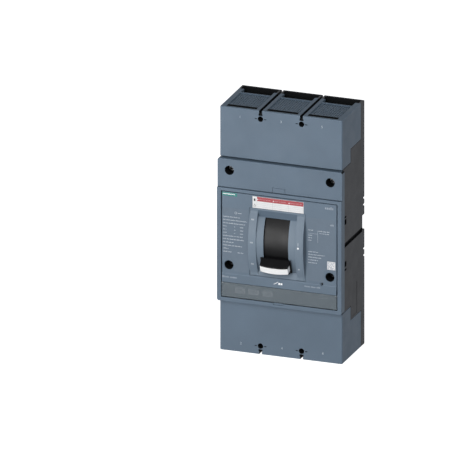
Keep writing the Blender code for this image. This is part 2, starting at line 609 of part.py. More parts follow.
def trip_unit():
    shell = box(-93.5, 93.5, 72, 104.2, -111.3, -87.9)
    rooms = [box(-91.5, -27, 74, 102, -109.3, -89.9), box(21, 91.5, 74, 102, -109.3, -89.9)]
    middle = [box(-27.5, 21.5, 98.2, 102, -109.3, -89.9)]
    gap = [box(-25, 19, 71, 96.5, -112, -87)]
    seats = [turned("d", x, z, [(101, 2.3), (103, 2.3), (103, 4.4), (105, 4.4)], 16)
             for x, z in DIALS]
    seats += [rod("d", -83.6, -93, 2.1, 102.6, 105, 14), rod("d", 73, -94.6, 3.0, 102.6, 105, 16)]
    top = [rod("z", 55, 88, 2.2, -91, -87, 14)]
    piece("trip_unit_housing", "handle_black", shell,
          [("-", gap), ("-", rooms), ("-", middle), ("-", seats), ("-", top)])
    chips = [box(-84, -66, 92, 98.8, -107, -94), box(-60, -36, 94, 98.8, -106, -93),
             box(26, 44, 93, 98.8, -106, -92), box(66, 84, 90, 98.8, -107, -95)]
    piece("trip_unit_board", "board_green", box(-90.5, 90.5, 98.5, 100.1, -108.5, -90.7),
          [("+", chips)])
    for n, (x, z) in enumerate(DIALS, 1):
        disc = turned("d", x, z, [(100.4, 2.0), (103.3, 2.0), (103.3, 4.1), (105.0, 4.1),
                                  (105.4, 3.7)], 16)
        piece(f"setting_dial_{n}", "dial_grey", disc,
              [("-", [box(x - 3.0, x + 3.0, 104.6, 106, z - 0.5, z + 0.5)])],
              origin=(x, 103.0, z))
    piece("trip_actuator", "zinc_steel", rod("z", 55, 86, 7.0, -107.5, -91.6, 20),
          [("-", [rod("z", 55, 88, 2.2, -101, -90, 14)])])
    piece("actuator_plunger", "zinc_steel", rod("z", 55, 88, 1.8, -100.5, -82.4, 14),
          origin=(55.0, 88.0, -100.5))


def trip_bar():
    bar = rod("x", *TRIP_BAR, 3.0, -88, 88, 16)
    d, z = TRIP_BAR
    paddles = [box(68, 76, d - 1.5, d + 1.5, z, z + 10.5), box(51, 59, d, d + 13, z - 1.2, z + 1),
               box(-4, 4, d - 0.6, d + 2, z, z + 10)]
    piece("trip_bar", "handle_black", bar, [("+", [p]) for p in paddles],
          origin=(0.0, *TRIP_BAR))
    piece("push_to_trip_button", "handle_black",
          turned("d", *BUTTON, [(81.0, 1.2), (81.5, 1.45), (94.6, 1.45), (94.6, 3.4),
                                (97.6, 3.4), (97.6, 1.45), (111.4, 1.45), (111.8, 1.1)], 12),
          origin=(BUTTON[0], 81.0, BUTTON[1]))


def window():
    low = -112.2
    outline = [(109.8, low), (112.8, low), (112.8, HINGE[1])]
    outline += arc(*HINGE, 1.5, 0, 180, 8)[1:]
    tab = [box(-9.0, 6.5, 110.5, 112.8, -114.8, -112.0)]
    pins = [rod("x", *HINGE, 1.0, 97.0, 100.5, 12), rod("x", *HINGE, 1.0, -100.5, -97.0, 12)]
    hollow = [box(-95.4, 95.4, 109, 111.3, -110.2, -91.2)]
    piece("trip_unit_window", "smoke_window", prism("x", outline, -97.4, 97.4),
          [("-", hollow), ("+", tab), ("+", pins)], origin=(0.0, *HINGE))


base()
main_cover()
front_panel()
toggle_bezel()
terminal_cover("line_terminal_cover", same)
terminal_cover("load_terminal_cover", flip)
screws()
label()
toggle_parts()
yoke()
spring("toggle_spring", TOGGLE_X, 4.0, 0.8, 45.5, 79.8, 6)
mechanism()
contacts()
conductors()
arc_chutes()
trip_unit()
trip_bar()
window()
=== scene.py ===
"""Looks of a three-pole molded case breaker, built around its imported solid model.

Shapes are drawn in (x, d, z) millimetres: x to the right seen from the front, d forward of the
mounting plane and z up from the middle of the housing. The scene itself is in metres.
"""

import json
import math
import random

import bmesh
import bpy
from mathutils import Matrix, Vector

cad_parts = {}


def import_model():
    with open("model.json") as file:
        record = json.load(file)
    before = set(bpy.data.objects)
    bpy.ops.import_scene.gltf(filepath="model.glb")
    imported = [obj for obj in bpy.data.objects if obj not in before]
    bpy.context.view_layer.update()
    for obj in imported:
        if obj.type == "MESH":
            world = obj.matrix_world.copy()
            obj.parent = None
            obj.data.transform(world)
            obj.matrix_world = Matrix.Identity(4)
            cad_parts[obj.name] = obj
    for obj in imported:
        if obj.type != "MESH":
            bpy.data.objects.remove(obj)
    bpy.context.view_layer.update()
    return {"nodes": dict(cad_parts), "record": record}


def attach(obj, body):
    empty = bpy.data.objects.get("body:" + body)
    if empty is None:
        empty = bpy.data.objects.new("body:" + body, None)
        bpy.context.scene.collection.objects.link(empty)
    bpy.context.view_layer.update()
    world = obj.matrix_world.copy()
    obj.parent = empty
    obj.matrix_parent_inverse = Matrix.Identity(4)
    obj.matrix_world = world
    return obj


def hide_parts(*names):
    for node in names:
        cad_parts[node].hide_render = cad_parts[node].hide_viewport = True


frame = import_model()
scene = bpy.context.scene

MM = 0.001
CLEAR = 0.3                      # gap between parts that lie on each other

# base: half width, then depths from the back and heights from the middle
BASE_HALF, BASE_TOP, STEP_D, TRAY_D, FLOOR_D = 103.0, 98.0, 63.7, 16.0, 5.0
MID_Z, STEP_Z, END_Z = 120.7, 144.0, 205.0
WALL_X, PITCH, PART_X, PART_HALF = 97.0, 69.0, 34.5, 2.5
POLES = (-PITCH, 0.0, PITCH)
GROOVE_X, GROOVE_LOW, GROOVE_HIGH = 99.2, -12.7, -5.2
SIDE_MARK_D = 84.5
SIDE_MARKS = ((30, 4.5), (38, 1.5), (-41, 4.5), (-50.5, 1.5))       # (z, half height)
BACK_NOTCHES = (41, 29.5, -44.4, -55.7)

# cover, front panel and the label on it
COVER_HALF, COVER_Z = 105.0, 119.5
STRIP_D, STRIP_Z, FRAME_D, PANEL_D = 110.0, 71.5, 113.0, 112.0
POCKET_X, POCKET_LOW, POCKET_HIGH, POCKET_D = 98.0, -112.5, 66.0, 101.5
PANEL_HALF, PANEL_LOW, PANEL_HIGH, PANEL_BACK = 96.5, -86.9, 64.9, 101.8
SCREW_X, SCREW_ZS, SCREW_HOLE, SCREW_SINK, HEX_R = 85.0, (100.5, -58.0), 7.4, 8.7, 3.2
LABEL_LEFT, LABEL_RIGHT, LABEL_LOW, LABEL_HIGH = -45, 41, 43.7, 63.0
LABEL_BACK, LABEL_D = 111.5, 112.15

# terminal covers. A span is (half width at the middle pole, inner edge, outer edge at a side pole)
TERM_D, TERM_LOW, TERM_SCREW_Z = 104.0, 121.3, 191.0
ROOM_SPAN, GRILLE_SPAN = (27.3, 41.7, 94.5), (26.0, 43.0, 93.5)
GRILLE_D, GRILLE_Z, VENT_D = (34.3, 89.2), 203.6, (35.6, 88.0)
VENTS, VENT_HALF = 13, 1.05
BARS, BAR_STEP, BAR_WIDE = 11, 4.3, 1.1

# toggle: pivot as (d, z) and half of its swing in degrees
TOGGLE_X, PIVOT, SWING = -3.0, (30.0, -14.0), 20.4
SLIDE_R0, SLIDE_R1, LEDGE_R = 85.0, 88.0, 90.5
BAND_HALF, GRIP_HALF, CAP_R, BULGE_R = 20.0, 23.4, 108.8, 82.2
FLANGE_HALF, FLANGE_R, FLANGE_Z = 25.4, 94.2, 12.3
BEZEL_HALF, BEZEL_LOW, BEZEL_HIGH = 46.4, -70.0, 43.0
CHEEK_R, CHEEK_AXIS, CHEEK_HALF = 135.0, (-13.0, -14.0), 33
SLOT_HALF, SLOT_LOW, SLOT_HIGH = 20.9, -58.6, 29
SILL_LOW, SILL_HIGH = (107.4, -59.4), (108.4, 30.2)

# trip unit: places as (x, z), axes along x as (d, z)
TRIP_HALF, TRIP_LOW, TRIP_HIGH, TRIP_D, TRIP_WALL = 93.5, -111.3, -87.9, 104.2, 2.0
BUTTON, HINGE = (72.0, -70.6), (111.3, -88.9)
DIALS = ((-69.0, -103.0), (-46.5, -103.0), (-22.3, -103.0))
ROTOR, TRIP_BAR, ROTOR_R = (40.0, -40.0), (78.0, -78.0), 10.9


# ---------------------------------------------------------------- shapes
# A shape is (build, moves): build(bm) models one solid, moves place it.

TURN = {
    "x": Matrix(((0, 0, 1), (1, 0, 0), (0, 1, 0))),
    "d": Matrix(((1, 0, 0), (0, 0, 1), (0, 1, 0))),
    "z": Matrix.Identity(3),
}


def box(x0, x1, d0, d1, z0, z1):
    def build(bm):
        verts = bmesh.ops.create_cube(bm, size=1.0)["verts"]
        bmesh.ops.scale(bm, verts=verts, vec=(x1 - x0, d1 - d0, z1 - z0))
        bmesh.ops.translate(bm, verts=verts, vec=((x0 + x1) / 2, (d0 + d1) / 2, (z0 + z1) / 2))
    return build, ()


def rod(axis, p, q, r, a0, a1):
    def build(bm):
        verts = bmesh.ops.create_cone(bm, cap_ends=True, segments=48, radius1=r, radius2=r,
                                      depth=a1 - a0)["verts"]
        bmesh.ops.translate(bm, verts=verts, vec=(p, q, (a0 + a1) / 2))
        bmesh.ops.transform(bm, matrix=TURN[axis].to_4x4(), verts=verts)
    return build, ()


def prism(axis, outline, a0, a1):
    """Extruded outline: (d, z) points for axis x, (x, z) for axis d, (x, d) for axis z."""
    def build(bm):
        face = bm.faces.new([bm.verts.new((p, q, a0)) for p, q in outline])
        grown = bmesh.ops.extrude_face_region(bm, geom=[face])["geom"]
        top = [v for v in grown if isinstance(v, bmesh.types.BMVert)]
        bmesh.ops.translate(bm, verts=top, vec=(0, 0, a1 - a0))
        bmesh.ops.transform(bm, matrix=TURN[axis].to_4x4(), verts=bm.verts)
    return build, ()


def turned(axis, p, q, profile, seg=48):
    """Solid of revolution. The profile is a list of (position along the axis, radius)."""
    def build(bm):
        line = [(profile[0][0], 0.0)] + list(profile) + [(profile[-1][0], 0.0)]
        chain = [bm.verts.new((r, 0, a)) for a, r in line]
        edges = [bm.edges.new(pair) for pair in zip(chain, chain[1:])]
        bmesh.ops.spin(bm, geom=chain + edges, cent=(0, 0, 0), axis=(0, 0, 1), dvec=(0, 0, 0),
                       angle=2 * math.pi, steps=seg, use_merge=True)
        bmesh.ops.remove_doubles(bm, verts=bm.verts, dist=1e-4)
        bmesh.ops.translate(bm, verts=bm.verts, vec=(p, q, 0))
        bmesh.ops.transform(bm, matrix=TURN[axis].to_4x4(), verts=bm.verts)
    return build, ()


def arc(p, q, r, a0, a1, steps):
    """Points on an arc around (p, q), with the angles in degrees."""
    out = []
    for i in range(steps + 1):
        a = math.radians(a0 + (a1 - a0) * i / steps)
        out.append((p + r * math.cos(a), q + r * math.sin(a)))
    return out


def stadium(p0, q0, p1, q1, r):
    """Outline of a round-ended bar between two centres."""
    a = math.degrees(math.atan2(q1 - q0, p1 - p0))
    return arc(p1, q1, r, a - 90, a + 90, 10) + arc(p0, q0, r, a + 90, a + 270, 10)


def moved(shape, move):
    return shape[0], shape[1] + (move,)


def polar(shape, centre, degrees):
    """Place a shape drawn as (x, radius, height) around an axis parallel to x."""
    c, s = math.cos(math.radians(degrees)), math.sin(math.radians(degrees))
    return moved(shape, lambda p: (p[0], centre[0] + p[1] * c - p[2] * s,
                                   centre[1] + p[1] * s + p[2] * c))


def flip(shape):
    return moved(shape, lambda p: (p[0], p[1], -p[2]))


def mirror_x(shape):
    return moved(shape, lambda p: (-p[0], p[1], p[2]))


def both_sides(shapes):
    return list(shapes) + [mirror_x(s) for s in shapes]


def both_ends(shapes):
    return list(shapes) + [flip(s) for s in shapes]


def same(shape):
    """Stands in for flip() where a shape stays as it is drawn."""
    return shape


def in_turn(shape):
    """Place a shape drawn as (x, radius, height) at the toggle's rest angle."""
    return polar(shape, PIVOT, -SWING)


# ---------------------------------------------------------------- building pieces

def place(x, d, z):
    return Vector((x, -d, z)) * MM


def solids(shapes):
    """One mesh of closed solids."""
    whole = bmesh.new()
    for build, moves in shapes:
        bm = bmesh.new()
        build(bm)
        for vert in bm.verts:
            point = tuple(vert.co)
            for move in moves:
                point = move(point)
            vert.co = place(*point)
        bm.normal_update()
        bmesh.ops.recalc_face_normals(bm, faces=bm.faces)
        if bm.calc_volume(signed=True) < 0:
            bmesh.ops.reverse_faces(bm, faces=bm.faces)
        solid = bpy.data.meshes.new("solid")
        bm.to_mesh(solid)
        bm.free()
        whole.from_mesh(solid)
        bpy.data.meshes.remove(solid)
    mesh = bpy.data.meshes.new("solids")
    whole.to_mesh(mesh)
    whole.free()
    return mesh


def combined(mesh, steps):
    """The mesh after a run of Boolean steps of ("+" or "-", shapes)."""
    if not steps:
        return mesh
    ob = bpy.data.objects.new("work", mesh)
    scene.collection.objects.link(ob)
    tools = []
    for sign, shapes in steps:
        tool = bpy.data.objects.new("tool", solids(shapes))
        scene.collection.objects.link(tool)
        tools.append(tool)
        mod = ob.modifiers.new("Boolean", "BOOLEAN")
        mod.operation = "UNION" if sign == "+" else "DIFFERENCE"
        mod.solver = "EXACT"
        mod.object = tool
    result = bpy.data.meshes.new_from_object(
        ob.evaluated_get(bpy.context.evaluated_depsgraph_get()))
    for spare in [ob] + tools:
        data = spare.data
        bpy.data.objects.remove(spare)
        bpy.data.meshes.remove(data)
    return result


def rounded(mesh, width, where=None, segments=3, clamp=True):
    """Round the convex edges that the test where(x, d, z) passes at both ends."""
    bm = bmesh.new()
    bm.from_mesh(mesh)
    bmesh.ops.remove_doubles(bm, verts=bm.verts, dist=2e-5)
    wear = bm.faces.layers.float.get("wear") or bm.faces.layers.float.new("wear")
    edges = []
    for edge in bm.edges:
        if len(edge.link_faces) != 2 or not edge.is_convex:
            continue
        if edge.calc_face_angle(0.0) < math.radians(30):
            continue
        ends = [(v.co.x / MM, -v.co.y / MM, v.co.z / MM) for v in edge.verts]
        if where is None or all(where(*end) for end in ends):
            edges.append(edge)
    made = bmesh.ops.bevel(bm, geom=edges, offset=width * MM, offset_type="OFFSET",
                           segments=segments, profile=0.5, affect="EDGES", clamp_overlap=clamp)
    for face in made["faces"]:
        face[wear] = 1.0
    bm.to_mesh(mesh)
    bm.free()
    return mesh


def past(depth):
    """A test for rounding only the edges in front of a depth."""
    return lambda x, d, z: d > depth


def closed(mesh):
    """Fill any sliver that a Boolean step left open."""
    bm = bmesh.new()
    bm.from_mesh(mesh)
    bmesh.ops.holes_fill(bm, edges=[e for e in bm.edges if len(e.link_faces) == 1], sides=4)
    bm.to_mesh(mesh)
    bm.free()
    return mesh


def shown(name, mesh, mat, body, nodes=(), sharp=50, dark=None):
    """Make a mesh a visible piece. For the middle of each face, dark(x, d, z) is 0 for the
    piece's own look, 1 for near-black painted shade in a hollow and 2 for the darker grey of
    the cover, which is painted shade on the bezel's slope and the window tab's own grey."""
    mesh.name = name
    mesh.materials.clear()
    mesh.materials.append(MAT[mat])
    mesh.polygons.foreach_set("material_index", [0] * len(mesh.polygons))
    # faces picked by dark() get painted shade: near-black in hollows, the cover's grey on the
    # bezel's slope
    if dark:
        mesh.materials.append(MAT["painted_shade_black"])
        mesh.materials.append(MAT["cover_grey"])
        for face in mesh.polygons:
            x, y, z = face.center / MM
            face.material_index = int(dark(x, -y, z))
    mesh.shade_smooth()
    mesh.set_sharp_from_angle(angle=math.radians(sharp))
    ob = bpy.data.objects.new(name, mesh)
    scene.collection.objects.link(ob)
    weighted = ob.modifiers.new("WeightedNormal", "WEIGHTED_NORMAL")
    weighted.keep_sharp = True
    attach(ob, body)
    if nodes:
        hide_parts(*nodes)
    return ob


def piece(node, mat, solid, steps, body="housing", dark=None):
    """A piece that stands for one node. Steps are ("+" or "-", shapes) and, for rounding,
    ("o", width, where, segments, clamp), of which the last three can be left out."""
    mesh, run = solids([solid]), []
    for step in steps:
        if step[0] == "o":
            mesh, run = rounded(combined(mesh, run), *step[1:]), []
        else:
            run.append(step)
    mesh = closed(combined(mesh, run))
    return shown(f"{node}_look", mesh, mat, body, (node,), dark=dark)


# ---------------------------------------------------------------- materials

def nodes_of(name):
    mat = bpy.data.materials.new(name)
    mat.use_nodes = True
    tree = mat.node_tree
    return mat, tree, tree.nodes["Principled BSDF"]


def node(tree, kind, values=None, **settings):
    made = tree.nodes.new(kind)
    for key, value in settings.items():
        setattr(made, key, value)
    for key, value in (values or {}).items():
        if isinstance(value, bpy.types.NodeSocket):
            tree.links.new(value, made.inputs[key])
        else:
            made.inputs[key].default_value = value
    return made


def noise(tree, scale, detail=2.0, rough=0.5, stretch=(1.0, 1.0, 1.0)):
    """Noise in object space, with the scale in cycles per metre."""
    coords = node(tree, "ShaderNodeTexCoord")
    spread = node(tree, "ShaderNodeMapping", {"Vector": coords.outputs["Object"],
                                              "Scale": stretch})
    return node(tree, "ShaderNodeTexNoise", {"Vector": spread.outputs["Vector"], "Scale": scale,
                                             "Detail": detail, "Roughness": rough}
                ).outputs["Fac"]


def ranged(tree, value, low, high, start=0.3, end=0.7):
    return node(tree, "ShaderNodeMapRange", {"Value": value, "From Min": start, "From Max": end,
                                             "To Min": low, "To Max": high}).outputs["Result"]


def blended(tree, factor, one, two):
    made = node(tree, "ShaderNodeMix", data_type="RGBA")
    for index, value in ((0, factor), (6, one), (7, two)):
        if isinstance(value, bpy.types.NodeSocket):
            tree.links.new(value, made.inputs[index])
        elif isinstance(value, tuple):
            made.inputs[index].default_value = (*value, 1.0)
        else:
            made.inputs[index].default_value = value
    return made.outputs[2]


def shade(colour, factor):
    return tuple(c * factor for c in colour)


def plastic(name, colour, roughness=0.45, grain=0.12, specular=0.28, vary=0.06, edge=1.18):
    """Moulded plastic: spark-eroded grain, cloudy tone, a little dust and rubbed edges."""
    mat, tree, shader = nodes_of(name)
    cloud = noise(tree, 14.0, 4.0)
    tone = blended(tree, ranged(tree, cloud, 0.0, 1.0), shade(colour, 1 - vary),
                   shade(colour, 1 + vary))
    speck = noise(tree, 700.0, 3.0, 0.7)
    tone = blended(tree, ranged(tree, speck, 0.0, 0.5, 0.62, 0.8), tone, shade(colour, 1.25))
    worn = node(tree, "ShaderNodeAttribute", attribute_name="wear").outputs["Fac"]
    patchy = node(tree, "ShaderNodeMath", {0: worn, 1: ranged(tree, noise(tree, 60.0, 4.0),
                                                              0.35, 1.0)},
                  operation="MULTIPLY").outputs[0]
    tone = blended(tree, patchy, tone, shade(colour, edge))
    tree.links.new(tone, shader.inputs["Base Color"])
    gloss = noise(tree, 45.0, 5.0, 0.6)
    tree.links.new(ranged(tree, gloss, roughness - 0.05, roughness + 0.07),
                   shader.inputs["Roughness"])
    shader.inputs["Specular IOR Level"].default_value = specular
    fine = noise(tree, 2600.0, 2.0, 0.6)
    bump = node(tree, "ShaderNodeBump", {"Height": fine, "Strength": grain,
                                         "Distance": 0.0002})
    tree.links.new(bump.outputs["Normal"], shader.inputs["Normal"])
    return mat


def metal(name, colour, roughness=0.32, tint=None):
    """Drawn or plated metal with fine draw lines and a faint tarnish."""
    mat, tree, shader = nodes_of(name)
    cloud = noise(tree, 40.0, 5.0, 0.65)
    tone = blended(tree, ranged(tree, cloud, 0.0, 1.0), shade(colour, 0.86), colour)
    if tint:
        tone = blended(tree, ranged(tree, noise(tree, 90.0, 4.0), 0.0, 0.5, 0.5, 0.75), tone,
                       tint)
    tree.links.new(tone, shader.inputs["Base Color"])
    shader.inputs["Metallic"].default_value = 1.0
    lines = noise(tree, 900.0, 3.0, 0.6, (1.0, 1.0, 14.0))
    tree.links.new(ranged(tree, lines, roughness - 0.08, roughness + 0.12),
                   shader.inputs["Roughness"])
    bump = node(tree, "ShaderNodeBump", {"Height": lines, "Strength": 0.1, "Distance": 0.0001})
    tree.links.new(bump.outputs["Normal"], shader.inputs["Normal"])
    return mat


def fibre(name, colour):
    """Pressed vulcanised fibre with streaks along its sheet."""
    mat, tree, shader = nodes_of(name)
    streak = noise(tree, 500.0, 5.0, 0.7, (1.0, 1.0, 0.12))
    tone = blended(tree, ranged(tree, streak, 0.0, 1.0), shade(colour, 0.7), shade(colour, 1.25))
    tree.links.new(tone, shader.inputs["Base Color"])
    tree.links.new(ranged(tree, streak, 0.6, 0.8), shader.inputs["Roughness"])
    bump = node(tree, "ShaderNodeBump", {"Height": streak, "Strength": 0.25,
                                         "Distance": 0.0002})
    tree.links.new(bump.outputs["Normal"], shader.inputs["Normal"])
    return mat


def circuit_board(name, colour):
    """Solder-masked board: traces show as a lighter woven pattern."""
    mat, tree, shader = nodes_of(name)
    coords = node(tree, "ShaderNodeTexCoord").outputs["Object"]
    cells = node(tree, "ShaderNodeTexVoronoi", {"Vector": coords, "Scale": 260.0},
                 distance="MANHATTAN", feature="F1").outputs["Distance"]
    tone = blended(tree, ranged(tree, cells, 0.0, 1.0, 0.45, 0.55), shade(colour, 1.5), colour)
    tree.links.new(tone, shader.inputs["Base Color"])
    tree.links.new(ranged(tree, cells, 0.3, 0.45), shader.inputs["Roughness"])
    bump = node(tree, "ShaderNodeBump", {"Height": cells, "Strength": 0.2, "Distance": 0.0001})
    tree.links.new(bump.outputs["Normal"], shader.inputs["Normal"])
    return mat


def film(name, colour, roughness=0.35, vary=0.03, alpha=1.0, relief=0.04):
    """Printed ink, label film or clear sheet, with a slight orange peel."""
    mat, tree, shader = nodes_of(name)
    cloud = noise(tree, 120.0, 4.0)
    tone = blended(tree, ranged(tree, cloud, 0.0, 1.0), shade(colour, 1 - vary),
                   shade(colour, 1 + vary))
    tree.links.new(tone, shader.inputs["Base Color"])
    peel = noise(tree, 420.0, 2.0)
    tree.links.new(ranged(tree, peel, roughness - 0.04, roughness + 0.08),
                   shader.inputs["Roughness"])
    bump = node(tree, "ShaderNodeBump", {"Height": peel, "Strength": relief,
                                         "Distance": 0.0001})
    tree.links.new(bump.outputs["Normal"], shader.inputs["Normal"])
    shader.inputs["Alpha"].default_value = alpha
    return mat


MAT = {
    "cover_grey": plastic("cover_grey", (0.106, 0.147, 0.194), 0.46),
    "panel_grey": plastic("panel_grey", (0.110, 0.152, 0.199), 0.44),
    "bezel_grey": plastic("bezel_grey", (0.150, 0.195, 0.244), 0.42),
    "base_black": plastic("base_black", (0.066, 0.068, 0.072), 0.55, 0.2, vary=0.1),
    # near-black painted shade for the faces of hollows, slots, grooves and bores
    "painted_shade_black": plastic("painted_shade_black", (0.006, 0.007, 0.008), 0.7, 0.1, specular=0.15),
    "screw_dark": metal("screw_dark", (0.07, 0.072, 0.075), 0.16),
    "handle_black": plastic("handle_black", (0.005, 0.005, 0.0055), 0.34, 0.05, specular=0.24,
                            edge=2.2),
    "cap_white": plastic("cap_white", (0.90, 0.90, 0.89), 0.4, 0.06, vary=0.02, edge=1.03),
    "dial_grey": plastic("dial_grey", (0.42, 0.43, 0.45), 0.45, 0.1),
    "rotor_cream": plastic("rotor_cream", (0.60, 0.52, 0.38), 0.6, 0.3, vary=0.12),
    "zinc_steel": metal("zinc_steel", (0.56, 0.57, 0.58)),
    "copper": metal("copper", (0.80, 0.45, 0.30), 0.34, tint=(0.42, 0.20, 0.13)),
    "fibre_brown": fibre("fibre_brown", (0.30, 0.20, 0.12)),
    "board_green": circuit_board("board_green", (0.03, 0.16, 0.07)),
    "smoke_window": film("smoke_window", (0.196, 0.238, 0.268), 0.2, 0.04, 0.5, 0.004),
    "label_white": film("label_white", (0.68, 0.68, 0.68), 0.4),
    "label_red": film("label_red", (0.33, 0.03, 0.042), 0.38),
    "plate_teal": film("plate_teal", (0.0, 0.16, 0.145), 0.35),
    "sheet_grey": film("sheet_grey", (0.103, 0.142, 0.187), 0.5),
    "ink_light": film("ink_light", (0.42, 0.46, 0.50), 0.5, 0.08),
    "ink_soft": film("ink_soft", (0.27, 0.31, 0.36), 0.5, 0.08),
    "ink_dot": film("ink_dot", (0.15, 0.20, 0.28), 0.5, 0.08),
    "ink_white": film("ink_white", (0.82, 0.83, 0.84), 0.5, 0.04),
    "ink_pink": film("ink_pink", (0.48, 0.22, 0.23), 0.5, 0.08),
    "ink_rule": film("ink_rule", (0.40, 0.40, 0.40), 0.5, 0.08),
    "ink_dark": film("ink_dark", (0.02, 0.02, 0.02), 0.5, 0.08),
    "ink_warm": film("ink_warm", (0.50, 0.48, 0.49), 0.5, 0.08),
}


# ---------------------------------------------------------------- base

def pole_span(xc, centre_half, side_in, side_out):
    """Left and right end of what lies at the pole centred on xc."""
    if xc == 0:
        return -centre_half, centre_half
    return (side_in, side_out) if xc > 0 else (-side_out, -side_in)


def base():
    outline = [(0, -END_Z), (TRAY_D, -END_Z), (TRAY_D, -STEP_Z), (STEP_D, -STEP_Z),
               (STEP_D, -MID_Z), (BASE_TOP, -MID_Z), (BASE_TOP, MID_Z), (STEP_D, MID_Z),
               (STEP_D, STEP_Z), (TRAY_D, STEP_Z), (TRAY_D, END_Z), (0, END_Z)]
    deep_z, top_z, shelf_d, above = 140, 114, 60, BASE_TOP + 1
    hollow = [(FLOOR_D, -deep_z), (shelf_d, -deep_z), (shelf_d, -top_z), (above, -top_z),
              (above, top_z), (shelf_d, top_z), (shelf_d, deep_z), (FLOOR_D, deep_z)]
    well = [(9.7, 148), (17, 148), (17, 206), (4, 206), (4, 196), (9.7, 196)]
    cavities, pockets, passages = [], [], []
    for xc in POLES:
        cavities.append(prism("x", hollow, *pole_span(xc, PART_X - PART_HALF,
                                                      PART_X + PART_HALF, WALL_X)))
        pockets += both_ends([prism("x", well, *pole_span(xc, 29.5, 39.5, 99.0))])
        passages += both_ends([box(xc - 18.4, xc + 18.4, 9.7, 18.3, 139, 149)])
    bosses = [prism("d", [(min(x, 98.0), z) for x, z in stadium(SCREW_X, zc, 97.5, zc, 7.0)],
                    62, 90) for zc in SCREW_ZS]
    holes = [rod("d", SCREW_X, z, 3.3, 64, 91) for z in SCREW_ZS]
    side = BASE_HALF + 1
    details = [box(GROOVE_X, side, 11, above, GROOVE_LOW, GROOVE_HIGH),
               box(98.5, side, -1, 10.5, -11.5, 14), box(102.5, side, 35, 60, -140, -88)]
    details += [box(100, side, -1, 6, z - 2, z + 2) for z in BACK_NOTCHES]
    details += [box(100.5, side, SIDE_MARK_D, above, z - h, z + h) for z, h in SIDE_MARKS]
    details += [rod("x", *ROTOR, ROTOR_R, 96.5, 99)]
    windows = [rod("x", *ROTOR, ROTOR_R, -38, 38), rod("x", *TRIP_BAR, 3.5, -38, 38),
               box(-38, 38, 70, above, -113, -86.5)]
    ends = both_sides([box(32.9, 36.1, -1, 17, 197, 206),
                       rod("d", PART_X, TERM_SCREW_Z, 2.3, 3, 17),
                       rod("d", PART_X, 172, 3.2, -1, 17)])

    # near-black painted shade inside the pole rooms, in the side groove and on the side slots
    def painted_shade_faces(x, d, z):
        on_step = abs(abs(z) - MID_Z) <= 0.3 or abs(abs(z) - STEP_Z) <= 0.3
        inside = abs(x) < 99.3 and abs(z) < END_Z - 0.5 and not on_step
        groove = abs(x) < 102.6 and GROOVE_LOW - 0.1 < z < GROOVE_HIGH + 0.1
        side_mark = abs(x) < 102.9 and d > SIDE_MARK_D - 0.2 and abs(z) < 60
        return 3.5 < d < above and (inside or groove or side_mark)

    piece("base_housing", "base_black", prism("x", outline, -BASE_HALF, BASE_HALF),
          [("o", 1.0), ("-", cavities), ("-", pockets), ("-", passages),
           ("+", both_sides(bosses)), ("-", both_sides(holes)), ("-", both_sides(details)),
           ("-", windows), ("-", both_ends(ends))], dark=painted_shade_faces)


# ---------------------------------------------------------------- covers

def chamfered(x, z0, z1, c):
    return [(-x + c, z0), (x - c, z0), (x, z0 + c), (x, z1 - c), (x - c, z1), (-x + c, z1),
            (-x, z1 - c), (-x, z0 + c)]


def main_cover():
    side, front = COVER_HALF + 1, FRAME_D + 1
    body = prism("d", chamfered(COVER_HALF, -COVER_Z, COVER_Z, 2.2), BASE_TOP + CLEAR, FRAME_D)
    cuts = [box(-side, side, STRIP_D, front, STRIP_Z, 121),
            box(-POCKET_X, POCKET_X, POCKET_D, front, POCKET_LOW, POCKET_HIGH)]
    under = [box(-97, 97, 97, 107, 70, 115.5)]
    openings = [box(TOGGLE_X - 27, TOGGLE_X + 27, 97, 102, -83, 62),
                box(-95, 95, 97, 102, -112, -86.4),
                rod("d", *BUTTON, 1.9, 97, 102),
                box(-9.6, 7.1, 108, front, -115.4, -112)]
    bosses = [rod("d", SCREW_X, SCREW_ZS[0], 10.5, 90.3, 108.5),
              rod("d", SCREW_X, SCREW_ZS[1], 10.5, 90.3, 99.5)]
    bores = [turned("d", SCREW_X, z, [(89, 3.3), (93.3, 3.3), (93.3, SCREW_HOLE),
                                      (108.9, SCREW_HOLE), (109.3, 7.6),
                                      (110.1, SCREW_SINK), (115, SCREW_SINK)])
             for z in SCREW_ZS]
    pins = [rod("x", *HINGE, 1.3, 97, 101.5)]
    latch = [box(-12.4, -11.4, 109.2, 111, 71, 81.0), box(8.4, 9.4, 109.2, 111, 71, 81.0),
             box(-11.0, 8.0, 109.2, 111, 80.0, 81.0)]
    seam = [box(-side, side, STRIP_D - 1.4, STRIP_D + 1, STRIP_Z - 0.1, STRIP_Z + 0.8)]

    # near-black painted shade inside the cover, in its screw bores and in the seam groove
    def painted_shade_faces(x, d, z):
        inside = abs(x) < COVER_HALF - 0.5 and abs(z) < COVER_Z - 0.5 and d < 109.15
        in_seam = abs(z - STRIP_Z - 0.4) < 0.45 and d < STRIP_D
        return inside or in_seam

    piece("main_cover", "cover_grey", body,
          [("-", cuts), ("o", 0.9, past(108)), ("-", seam), ("-", under),
           ("+", both_sides(bosses)), ("-", openings), ("-", both_sides(bores)),
           ("-", both_sides(pins)), ("-", latch)], dark=painted_shade_faces)


